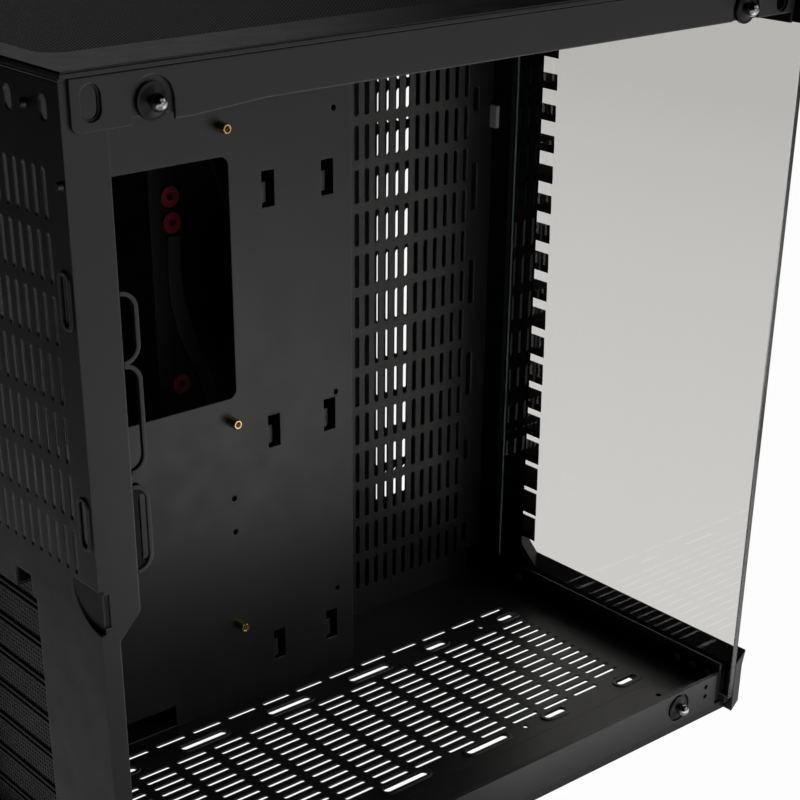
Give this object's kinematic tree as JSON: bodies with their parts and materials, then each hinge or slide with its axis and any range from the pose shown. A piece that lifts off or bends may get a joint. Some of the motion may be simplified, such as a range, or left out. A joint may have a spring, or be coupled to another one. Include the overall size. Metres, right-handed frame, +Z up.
{
  "type": "computer case",
  "caption": "Mid-tower computer case with two chambers, slotted steel panels, a glass front with a bevelled comb edge, and its left side open.",
  "frame": {"origin": "centre of the bounding box's bottom face, on the surface that the foot pads stand on", "axes": "+X from the rear to the front, +Y from the open left side to the closed right side, +Z up"},
  "size_m": [0.439, 0.272, 0.44],
  "materials": {
    "steel_black": "satin powder coat",
    "plastic_black": "fine satin",
    "glass_front": "clear, slightly tinted",
    "rubber_black": "matte",
    "filter_grey": "finely perforated sheet",
    "stud_dark": "dark plated",
    "brass": "turned",
    "zinc": "dull plated",
    "rubber_red": "matte",
    "cable_grey": "smooth",
    "foam_pale": "foam"
  },
  "bodies": {
    "case": {"floor_pan": "steel_black", "rear_panel": "steel_black", "roof_panel": "steel_black", "board_tray": "steel_black", "fan_wall": "steel_black", "front_plate": "steel_black", "right_panel": "steel_black", "front_glass": "glass_front", "glass_seal": "rubber_black", "front_cover": "plastic_black", "top_cover": "plastic_black", "top_mesh": "filter_grey", "top_rail": "steel_black", "bottom_rail": "steel_black", "base_frame": "plastic_black", "slot_covers": "steel_black", "ball_studs": "stud_dark", "standoffs": "brass", "sill_rivets": "zinc", "rear_rivets": "zinc", "fan_bracket": "steel_black", "drive_plate": "steel_black", "grommets": "rubber_red", "chamber_cables": "cable_grey", "power_shelf": "steel_black", "io_block": "plastic_black", "feet": "plastic_black", "foot_pads": "rubber_black", "wall_pad": "foam_pale"},
    "button": {"power_button": "plastic_black"}
  },
  "joints": [
    {"name": "power_press", "type": "slide", "parent": "case", "child": "button", "axis": [-1, 0, 0], "range_m": [0, 0.0012], "stiffness_N_per_m": 800}
  ]
}
